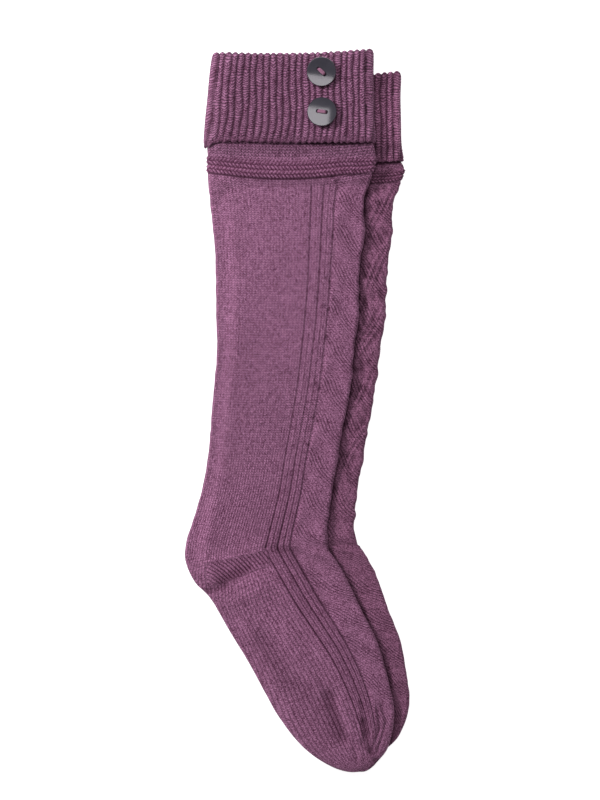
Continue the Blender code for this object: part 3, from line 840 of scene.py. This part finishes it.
def sock_rows():
    """Distances down to each ring: few under the cuff, and close where the knitting shows."""
    first = HEM - FINE_FROM
    welt = WELT_START - WELT_UP / 2
    leg = WELT_END + 4 * MM
    heel, foot = down_at("heel_top"), down_at("foot_back")
    return rows_along(
        (0, first, 8 * MM),
        (first, welt, 1.35 * MM),
        (welt, WELT_END, 0.7 * MM),
        (WELT_END, leg, 0.9 * MM),
        (leg, heel, 1.6 * MM),
        (heel, foot, 1.0 * MM),
        (foot, TOE_END, 1.4 * MM),
    )


def grid_faces(rows, columns, cyclic_rows=False):
    """Quads between rows of points, joined around each row."""
    i = np.arange(rows if cyclic_rows else rows - 1)[:, None]
    j = np.arange(columns)[None, :]
    n, m = (i + 1) % rows, (j + 1) % columns
    corners = [i * columns + j, i * columns + m, n * columns + m, n * columns + j]
    return np.stack(corners, axis=-1).reshape(-1, 4)


def add_object(name, data, material):
    """A smooth object of a mesh, with a material."""
    data.materials.append(material)
    data.shade_smooth()
    made = bpy.data.objects.new(name, data)
    bpy.context.collection.objects.link(made)
    return made


def add_mesh(name, points, faces, knit, tone, material):
    """An object of rows of points, with its knitting's map and values."""
    data = bpy.data.meshes.new(name)
    data.from_pydata(points.tolist(), [], faces)
    data.update()
    loop_points = np.empty(len(data.loops), int)
    data.loops.foreach_get("vertex_index", loop_points)
    layer = data.uv_layers.new(name="knit")
    counts = np.stack([knit.wale.ravel(), knit.course.ravel()], axis=-1)
    layer.data.foreach_set("uv", counts[loop_points].astype(np.float32).ravel())
    # the painted shade, the furrows, the stitches and the painted light gain, for the material
    named = {"gap": knit.gap, "furrow": knit.furrow, "stitch": knit.stitch, "tone": tone}
    for label, values in named.items():
        attribute = data.attributes.new(label, "FLOAT", "POINT")
        attribute.data.foreach_set("value", values.astype(np.float32).ravel())
    made = add_object(name, data, material)
    turned = bmesh.new()
    turned.from_mesh(data)
    bmesh.ops.recalc_face_normals(turned, faces=turned.faces[:])
    turned.to_mesh(data)
    turned.free()
    return made


def add_sock(shift, name, material):
    """A leg and foot: the knitted outer skin, and a plain inner one a wall inside it."""
    first = SHOWN_WALE if shift else 0
    fine = np.arange(first * WALE_SAMPLES, WALES * WALE_SAMPLES + 1) / (WALES * WALE_SAMPLES)
    coarse = np.linspace(0, first / WALES, 16)[:-1] if shift else []
    columns = make_columns(np.concatenate([coarse, fine]), 24)
    down = sock_rows()[:, None]
    place = places(columns, down, 0)
    flat = plan(shift, place, down)[0]
    knit = sock_knit(shift, columns, place, down, flat)
    outer = tube(shift, columns, place, down, 0, knit.rise)
    calf = down_at("calf_top")
    stretches = (0, HEM, 11 * MM), (HEM, calf, 4 * MM), (calf, down_at("toe_low"), 25 * MM)
    inner_down = rows_along(*stretches)[:, None]
    inner_place = places(columns, inner_down, -WALL)
    sunk = np.where(columns.under, 0, -INNER_SUNK) * (1 - shift)
    inner = tube(shift, columns, inner_place, inner_down, -WALL, sunk)[::-1]
    count = len(columns.share)
    points = np.concatenate([inner.reshape(-1, 3), outer.reshape(-1, 3)])
    rows = len(inner) + len(outer)
    faces = grid_faces(rows, count).tolist()
    faces.append(list(range(count)))
    faces.append(list(range((rows - 1) * count, rows * count)))
    blank = np.zeros(len(inner) * count)
    all_knit = Knit(*(np.concatenate([blank, values.ravel()]) for values in knit))
    # painted light and shade on the outer skin only
    tone = np.concatenate([blank + 1, painted_light(flat).ravel()])
    return add_mesh(name, points, faces, all_knit, tone, material)


def cuff_profile():
    """Rings around a cuff's wall: distances down, offsets from the leg, shares of the
    relief, and how far each ring is turned from facing up to facing the mouth.
    """
    rings = [(HEM, SEAM_GAP, 0.0, 0.0)]
    middle, half = (SEAM_GAP + CUFF_LIFT) / 2, (CUFF_LIFT - SEAM_GAP) / 2
    for turn in (30, 60, 90, 120, 150):
        spin = math.radians(turn)
        down = HEM + HEM_ROLL * math.sin(spin)
        rings.append((down, middle - half * math.cos(spin), turn / 180, spin - math.pi))
    rings += [(down, CUFF_LIFT, 1.0, 0.0) for down in rows_between(0, HEM, 0.4 * MM)[::-1]]
    for turn in range(12, 170, 12):
        spin = math.radians(turn)
        offset = FOLD_MIDDLE + FOLD_HALF * math.cos(spin)
        down = -SEAM_GAP * ease(turn / 40) - FOLD_RISE * math.sin(spin)
        rings.append((float(down), offset, float(1 - ease((turn - 90) / 60)), spin))
    rings += [(-SEAM_GAP, -WALL, 0.0, 0.0), (-SEAM_GAP, SEAM_GAP, 0.0, 0.0)]
    rings += [(down, SEAM_GAP, 0.0, 0.0) for down in rows_between(0, HEM, 7 * MM)[:-1]]
    return [np.array(values)[:, None] for values in zip(*rings)]


def add_cuff(shift, name, material):
    """The turned cuff: ribbed outside, folded over the leg's rim, plain inside."""
    first = SHOWN_RIB if shift else 0
    ribs = np.arange(first * RIB_SAMPLES, CUFF_RIBS * RIB_SAMPLES + 1) / RIB_SAMPLES
    lead = np.linspace(0, 1, 18 if shift else 4)[:-1]
    tail = np.linspace(0, 1, 5)[1:]
    columns = make_columns(np.concatenate([lead, ribs, tail]), 26)
    down, offset, share, spin = cuff_profile()
    place = places(columns, down, offset)
    # the top's columns follow the ribs, with a few columns before and after them
    ribbed = RIBS_START + (RIBS_END - RIBS_START) * ribs / CUFF_RIBS - rib_lean(down)
    edge = edge_share(down, offset)
    before = edge + (ribbed[:, :1] - edge) * lead
    after = ribbed[:, -1:] + (1 - edge - ribbed[:, -1:]) * tail
    top = np.concatenate([before, ribbed, after], axis=1)
    place[:, len(EDGE_TURNS) : len(EDGE_TURNS) + top.shape[1]] = top
    wave = np.interp(place, HEM_WAVE_PLACES, HEM_WAVE_RISES) * MM
    laid = down - wave * ease((down - HEM + HEM_WAVE_REACH) / HEM_WAVE_REACH)
    flat = plan(shift, place, laid)[0]
    knit = cuff_knit(shift, columns, place, down, flat, offset, share)
    bound = ease((down - HEM + BIND_OFF) / BIND_OFF)
    laid = laid + HEM_WIGGLE * bound * np.sin(2 * np.pi * knit.wale + np.sin(1.3 * knit.wale))
    scallop = FOLD_SCALLOP * np.abs(np.sin(np.pi * knit.wale)) * np.maximum(np.sin(spin), 0)
    laid = laid - knit.rise * np.sin(spin) - scallop * np.where(columns.under, 0, share)
    points = tube(shift, columns, place, laid, offset, knit.rise * np.cos(spin))
    lifted = ease((place - HEM_LIFT_FROM) / 0.4)
    lifted = lifted * ease((down - HEM + HEM_LIFT_REACH) / HEM_LIFT_REACH)
    points[..., 2] += HEM_LIFT * lifted * np.where(columns.under, 0, np.sin(columns.turn))
    faces = grid_faces(len(points), points.shape[1], cyclic_rows=True).tolist()
    # painted light and shade, a little darker over the whole cuff
    tone = CUFF_TONE * painted_light(flat)
    return add_mesh(name, points.reshape(-1, 3), faces, knit, tone, material)


# The form of a button from its back to its face: shares of its radius and height
BUTTON_FORM = (
    (0.0, 0.0),
    (0.80, 0.0),
    (0.90, 0.04),
    (0.97, 0.20),
    (1.0, 0.45),
    (1.0, 0.78),
    (0.985, 0.92),
    (0.967, 1.0),
    (0.92, 0.982),
    (0.86, 0.960),
    (0.80, 0.939),
    (0.70, 0.909),
    (0.60, 0.882),
    (0.45, 0.850),
    (0.30, 0.827),
    (0.15, 0.813),
    (0.0, 0.808),
)
BUTTON_FACE = 0.82
RIM_ANGLE = 32
HOLE_FORM = ((-0.5, 1.0), (0.60, 1.0), (0.70, 1.05), (0.77, 1.18), (0.82, 1.40), (1.3, 1.5))
BUTTON_SIDES = 96
HOLE_SIDES = 28


def turned_body(profile, segments):
    """A closed body turned from a profile of radii and heights, bottom first."""
    mesh = bmesh.new()
    turns = [2 * math.pi * k / segments for k in range(segments)]
    rings = []
    for radius, height in profile:
        if radius == 0:
            rings.append([mesh.verts.new((0, 0, height))] * segments)
            continue
        ring = [mesh.verts.new((radius * math.cos(t), radius * math.sin(t), height)) for t in turns]
        rings.append(ring)
    for lower, upper in zip(rings, rings[1:]):
        for k in range(segments):
            n = (k + 1) % segments
            corners = (lower[k], lower[n], upper[n], upper[k])
            mesh.faces.new(list(dict.fromkeys(corners)))
    return mesh


def add_bmesh(name, mesh, material):
    """An object of a mesh under construction, with a material."""
    bmesh.ops.recalc_face_normals(mesh, faces=mesh.faces[:])
    data = bpy.data.meshes.new(name)
    mesh.to_mesh(data)
    mesh.free()
    return add_object(name, data, material)


def seat(shift, button):
    """The frame of a button on a cuff: on the ribs, and level with the cloth around it."""
    middle = button_place(shift, button)
    width = np.linalg.norm(FRONT.at(button.below) - BACK.at(button.below))
    around = np.pi / 4 * np.arange(8)
    reach = BUTTON_WIDTH / 2 * np.array((0.0, 0.5, 1.0))[:, None]
    step_x = (reach * np.cos(around)).ravel()
    step_y = (reach * np.sin(around)).ravel()
    spots = middle + np.stack([step_x, step_y], axis=-1)
    top = rest_height(shift, spots) + CUFF_TOP
    top = top + crown_height(shift, button.across + step_x / width)
    sides = np.column_stack([step_x, step_y, np.ones(len(top))])
    slopes = np.linalg.lstsq(sides, top, rcond=None)[0]
    slopes[:2] *= SEAT_TILT
    lift = slopes[2] + (top - sides @ slopes).max() + SEAM_GAP
    lift += 0 if shift else RIB_RISE
    lift += LEAN_LIFT * BUTTON_WIDTH * math.sin(math.radians(abs(button.lean_x)))
    normal = Vector((-slopes[0], -slopes[1], 1)).normalized()
    tilt = Vector((0, 0, 1)).rotation_difference(normal).to_matrix().to_4x4()
    turns = ((button.lean_x, "X"), (button.lean_y, "Y"), (button.turn, "Z"))
    lean_x, lean_y, turn = (Matrix.Rotation(math.radians(t), 4, axis) for t, axis in turns)
    return Matrix.Translation((middle[0], middle[1], lift)) @ tilt @ lean_x @ lean_y @ turn


def add_button(name, place, material):
    """A dished glossy button with two rounded holes."""
    radius = BUTTON_WIDTH / 2
    mesh = turned_body([(radius * r, BUTTON_THICK * h) for r, h in BUTTON_FORM], BUTTON_SIDES)
    button = add_bmesh(name, mesh, material)
    for side in (-1, 1):
        cutter_form = [(0, BUTTON_THICK * HOLE_FORM[0][0])]
        cutter_form += [(HOLE_WIDTH / 2 * r, BUTTON_THICK * h) for h, r in HOLE_FORM]
        cutter_form += [(0, BUTTON_THICK * HOLE_FORM[-1][0])]
        cutter = add_bmesh(name + "_cutter", turned_body(cutter_form, HOLE_SIDES), material)
        cutter.location = (side * HOLE_SPACING / 2, 0, 0)
        cut = button.modifiers.new("hole", "BOOLEAN")
        cut.operation = "DIFFERENCE"
        cut.solver = "EXACT"
        cut.object = cutter
    bpy.context.view_layer.update()
    shaped = button.evaluated_get(bpy.context.evaluated_depsgraph_get())
    data = bpy.data.meshes.new_from_object(shaped)
    for cutter in [o for o in bpy.data.objects if o.name.startswith(name + "_cutter")]:
        bpy.data.objects.remove(cutter, do_unlink=True)
    button.modifiers.clear()
    data.transform(place)
    data.shade_smooth()
    data.set_sharp_from_angle(angle=math.radians(RIM_ANGLE))
    button.data = data
    return button


# Sewing thread: the strands' places side by side, how far they reach past the holes'
# middles and down into them, and how they are twisted
THREAD_WIDTH = 0.92 * MM
THREAD_STRANDS = (-1.05, -0.35, 0.35, 1.05)
THREAD_PAST = 0.9 * MM
THREAD_DIP = 2.4 * MM
THREAD_TWIST = 0.55
THREAD_SIDES = 10
THREAD_STEPS = 22


def add_thread(name, place, material):
    """The strands of sewing thread that cross a button's face from hole to hole."""
    mesh = bmesh.new()
    for k, strand in enumerate(THREAD_STRANDS):
        off = strand * THREAD_WIDTH * 0.9
        path = []
        for step in range(THREAD_STEPS + 1):
            part = step / THREAD_STEPS
            along = (part - 0.5) * (HOLE_SPACING + THREAD_PAST)
            dip = abs(2 * part - 1) ** 7
            height = BUTTON_THICK * BUTTON_FACE + THREAD_WIDTH * (0.62 + 0.22 * (k % 2))
            height -= dip * THREAD_DIP
            spread = off * (1 - 0.45 * abs(2 * part - 1) ** 2)
            path.append(Vector((along * (1 - 0.12 * dip), spread, height)))
        rings = []
        for step, point in enumerate(path):
            ahead = path[min(step + 1, len(path) - 1)] - path[max(step - 1, 0)]
            ahead.normalize()
            right = ahead.cross(Vector((0, 1, 0))).normalized()
            other = ahead.cross(right)
            ring = []
            for s in range(THREAD_SIDES):
                spin = 2 * math.pi * s / THREAD_SIDES
                ply = 1 + 0.12 * math.cos(2 * (spin - step * THREAD_TWIST))
                out = right * math.cos(spin) + other * math.sin(spin)
                ring.append(mesh.verts.new(point + out * (THREAD_WIDTH / 2 * ply)))
            rings.append(ring)
        for first, second in zip(rings, rings[1:]):
            for s in range(THREAD_SIDES):
                n = (s + 1) % THREAD_SIDES
                mesh.faces.new((first[s], first[n], second[n], second[s]))
        mesh.faces.new(rings[0][::-1])
        mesh.faces.new(rings[-1])
    thread = add_bmesh(name, mesh, material)
    thread.data.transform(place)
    return thread


class Graph:
    """The nodes of one material, with short calls to add and link them."""

    def __init__(self, name):
        self.material = bpy.data.materials.new(name)
        self.material.use_nodes = True
        self.nodes = self.material.node_tree.nodes
        self.links = self.material.node_tree.links

    def add(self, kind, inputs=(), **settings):
        node = self.nodes.new(kind)
        for key, value in settings.items():
            setattr(node, key, value)
        self.set(node, dict(inputs))
        return node

    def set(self, node, inputs):
        for key, value in inputs.items():
            if isinstance(value, bpy.types.NodeSocket):
                self.links.new(value, node.inputs[key])
            else:
                node.inputs[key].default_value = value

    def shade(self, inputs):
        self.set(self.nodes["Principled BSDF"], inputs)

    def math(self, operation, *values, clamp=False):
        inputs = enumerate(values)
        return self.add("ShaderNodeMath", inputs, operation=operation, use_clamp=clamp).outputs[0]

    def times(self, first, second, clamp=False):
        return self.math("MULTIPLY", first, second, clamp=clamp)

    def scaled(self, value, factor, offset, clamp=False):
        return self.math("MULTIPLY_ADD", value, factor, offset, clamp=clamp)

    def value(self, name):
        return self.add("ShaderNodeAttribute", attribute_name=name).outputs["Fac"]

    def mix(self, share, first, second, blend="MIX"):
        inputs = {"Factor": share, 6: first, 7: second}
        node = self.add("ShaderNodeMix", data_type="RGBA", blend_type=blend)
        self.set(node, inputs)
        return node.outputs[2]

    def noise(self, scale, detail, roughness=0.5):
        # turned, so that the noise's cells don't line up with the picture's pixels
        where = self.add("ShaderNodeTexCoord").outputs["Object"]
        turned = {"Vector": where, "Axis": (0.3, 0.5, 0.8), "Angle": 0.6}
        where = self.add("ShaderNodeVectorRotate", turned).outputs[0]
        inputs = {"Vector": where, "Scale": scale, "Detail": detail, "Roughness": roughness}
        return self.add("ShaderNodeTexNoise", inputs).outputs["Fac"]

    def bump(self, height, strength, distance):
        inputs = {"Height": height, "Strength": strength, "Distance": distance}
        return self.add("ShaderNodeBump", inputs).outputs[0]


# Yarn colours of each sock: its light fibres, its dark ones, and the painted shade in the
# gaps between stitches and in hollows
YARNS = {
    "upper": ((0.39, 0.175, 0.304, 1), (0.075, 0.018, 0.046, 1), (0.036, 0.008, 0.021, 1)),
    # the lower sock is of the same yarn as the upper one; its colours are darker as painted shade
    "lower": ((0.334, 0.143, 0.248, 1), (0.062, 0.015, 0.038, 1), (0.030, 0.007, 0.018, 1)),
}

# How fine the yarn's fibres, its grain, its heathered shades and its broad patches are
FIBRE_SCALE = 1500.0
GRAIN_SCALE = 1450.0
HEATHER_SCALE = 650.0
PATCH_SCALE = 38.0


def knit_material(name, light, dark, deep):
    """Mauve yarn: V stitches counted in the knit map, soft fibres, gaps darkened with painted shade,
    and painted light.
    """
    g = Graph(name)
    where = g.add("ShaderNodeUVMap", uv_map="knit").outputs[0]
    split = g.add("ShaderNodeSeparateXYZ", {"Vector": where})
    wale, course = split.outputs[0], split.outputs[1]
    side = g.math("ABSOLUTE", g.scaled(g.math("FRACT", wale), 2.0, -1.0))
    strand = g.math("SINE", g.times(g.math("FRACT", course), math.pi))
    strand = g.math("POWER", strand, 1.5)
    column_form = g.scaled(g.math("POWER", side, 4.0), -0.5, 1.0)
    legs = g.scaled(g.times(side, 6.0, clamp=True), 0.25, 0.75)
    stitch_form = g.times(g.times(column_form, g.scaled(strand, 0.9, 0.1)), legs)
    furrow = g.times(g.math("POWER", side, 3.0), g.value("furrow"))
    plain = g.math("SUBTRACT", 1.0, g.value("stitch"))
    height = g.scaled(plain, 0.65, g.times(stitch_form, g.value("stitch")))
    fibre = g.noise(FIBRE_SCALE, 4.0, 0.65)
    grain = g.noise(GRAIN_SCALE, 1.0)
    heather = g.noise(HEATHER_SCALE, 1.0)
    patch = g.noise(PATCH_SCALE, 2.0)
    cell = {"X": g.math("FLOOR", g.times(wale, 2.0)), "Y": g.math("FLOOR", course)}
    cell = g.add("ShaderNodeCombineXYZ", cell).outputs[0]
    fleck = g.add("ShaderNodeTexWhiteNoise", {"Vector": cell}, noise_dimensions="2D").outputs[0]
    flecked = g.times(fleck, g.scaled(g.value("stitch"), 0.6, 0.4))
    lit = g.scaled(grain, 2.7, g.scaled(flecked, 0.45, -0.96), clamp=True)
    # painted shade: gaps, furrows and hollows are mixed towards the third, painted shade colour
    gap = g.times(g.math("ADD", g.value("gap"), furrow), 0.85, clamp=True)
    colour = g.mix(gap, g.mix(lit, dark, light), deep)
    # painted light and shade: strands lighter on their crests and darker between them, and whole
    # areas lighter or darker by the painted light gain; the heather and patches are the yarn's own
    # shades
    shade = g.times(g.scaled(heather, 0.2, 0.89), g.scaled(height, 1.0, 0.4))
    shade = g.times(g.times(shade, g.scaled(patch, 0.16, 0.92)), g.value("tone"))
    grey = g.add("ShaderNodeCombineColor", {0: shade, 1: shade, 2: shade}).outputs[0]
    bumped = g.scaled(fibre, 0.35, g.math("SUBTRACT", height, furrow))
    g.shade({
        "Base Color": g.mix(1.0, colour, grey, "MULTIPLY"),
        "Roughness": g.scaled(fibre, 0.16, 0.8),
        "Specular IOR Level": 0.14,
        "Sheen Weight": 0.1,
        "Sheen Roughness": 0.5,
        "Sheen Tint": (0.95, 0.5, 0.78, 1),
        "Normal": g.bump(bumped, 0.7, 0.45 * MM),
    })
    return g.material


def button_material():
    """Glossy dark slate plastic with a faint cloudy grain and fine handling marks."""
    g = Graph("button")
    g.shade({
        "Base Color": g.mix(g.noise(160.0, 3.0), (0.022, 0.021, 0.029, 1), (0.040, 0.037, 0.050, 1)),
        "Roughness": g.scaled(g.noise(900.0, 2.0), 0.1, 0.07),
        "Specular Tint": (1, 0.94, 1, 1),
        "Coat Weight": 0.25,
        "Coat Roughness": 0.1,
        "Normal": g.bump(g.noise(70.0, 1.0), 0.25, 0.4 * MM),
    })
    return g.material


def thread_material():
    """Plum sewing thread with a soft twist."""
    g = Graph("thread")
    fibre = g.noise(2600.0, 3.0)
    g.shade({
        "Base Color": g.mix(fibre, (0.17, 0.065, 0.12, 1), (0.37, 0.175, 0.27, 1)),
        "Roughness": g.scaled(fibre, 0.3, 0.55),
        "Normal": g.bump(fibre, 0.5, 0.1 * MM),
    })
    return g.material


def floor_material():
    """Matt white card that glows a little, so that it looks pale and plain."""
    g = Graph("floor")
    g.shade({
        "Base Color": g.mix(g.noise(3.0, 1.0), (0.59, 0.59, 0.59, 1), (0.61, 0.61, 0.61, 1)),
        "Roughness": 1.0,
        "Specular IOR Level": 0.0,
        "Emission Color": (1, 1, 1, 1),
        "Emission Strength": 0.85,
    })
    return g.material


FLOOR_HALF = 4.0
FLOOR_DROP = 0.05 * MM


def add_floor():
    """A plain white floor, a hair below the socks."""
    mesh = bmesh.new()
    h = FLOOR_HALF
    corners = [mesh.verts.new((x, y, -FLOOR_DROP)) for x, y in ((-h, -h), (h, -h), (h, h), (-h, h))]
    mesh.faces.new(corners)
    floor = add_bmesh("floor", mesh, floor_material())
    return floor


# The camera, and the lights: their places, sizes and powers
LENS = 85
SENSOR = 36
WORLD_STRENGTH = 0.27
KEY_PLACE = (0.12, 0.85, 1.5)
KEY_SIZE = (0.8, 0.6)
KEY_POWER = 8.5
FILL_PLACE = (-1.15, 0.75, 0.9)
FILL_SIZE = (0.35, 0.35)
FILL_POWER = 27


def add_light(name, place, size, power):
    """A soft rectangular light that faces the socks."""
    light = bpy.data.lights.new(name, "AREA")
    light.shape = "RECTANGLE"
    light.size, light.size_y = size
    light.energy = power
    lamp = bpy.data.objects.new(name, light)
    lamp.location = place
    lamp.rotation_euler = (-lamp.location).to_track_quat("-Z", "Y").to_euler()
    bpy.context.collection.objects.link(lamp)
    return lamp


def add_studio():
    """White surroundings, the camera, a large soft light from the cuffs' side, and a
    smaller one from the upper left, which the buttons don't mirror.
    """
    world = bpy.data.worlds.new("surroundings")
    world.use_nodes = True
    world.node_tree.nodes["Background"].inputs[0].default_value = (1, 1, 1, 1)
    world.node_tree.nodes["Background"].inputs[1].default_value = WORLD_STRENGTH
    bpy.context.scene.world = world
    add_light("key", KEY_PLACE, KEY_SIZE, KEY_POWER)
    fill = add_light("fill", FILL_PLACE, FILL_SIZE, FILL_POWER)
    fill.visible_glossy = False
    data = bpy.data.cameras.new("camera")
    data.lens = LENS
    data.sensor_width = SENSOR
    camera = bpy.data.objects.new("camera", data)
    away = PHOTO_HEIGHT * PIXEL * LENS / SENSOR
    camera.location = (
        (VIEW_X - ORIGIN_X) * PIXEL,
        (ORIGIN_Y - VIEW_Y) * PIXEL,
        away + LEG_TOP * 2,
    )
    bpy.context.collection.objects.link(camera)
    bpy.context.scene.camera = camera
    bpy.context.scene.view_settings.view_transform = "Standard"
    bpy.context.scene.view_settings.look = "None"


def main():
    """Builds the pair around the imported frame."""
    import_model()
    knits = {label: knit_material(f"{label}_knit", *yarn) for label, yarn in YARNS.items()}
    slate, plum = button_material(), thread_material()
    floor = add_floor()
    for label, shift in (("lower", 1), ("upper", 0)):
        sock = add_sock(shift, f"{label}_sock_knit", knits[label])
        cuff = add_cuff(shift, f"{label}_cuff_knit", knits[label])
        for piece, node in ((sock, f"{label}_sock"), (cuff, f"{label}_cuff")):
            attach(piece, "root")
            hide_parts(node)
        for button in BUTTONS:
            place = seat(shift, button)
            node = f"{label}_button_{button.name}"
            disc = add_button(f"{node}_gloss", place, slate)
            thread = add_thread(f"{node}_thread", place, plum)
            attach(disc, "root")
            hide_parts(node)
            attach(thread, "root")
    add_studio()


main()
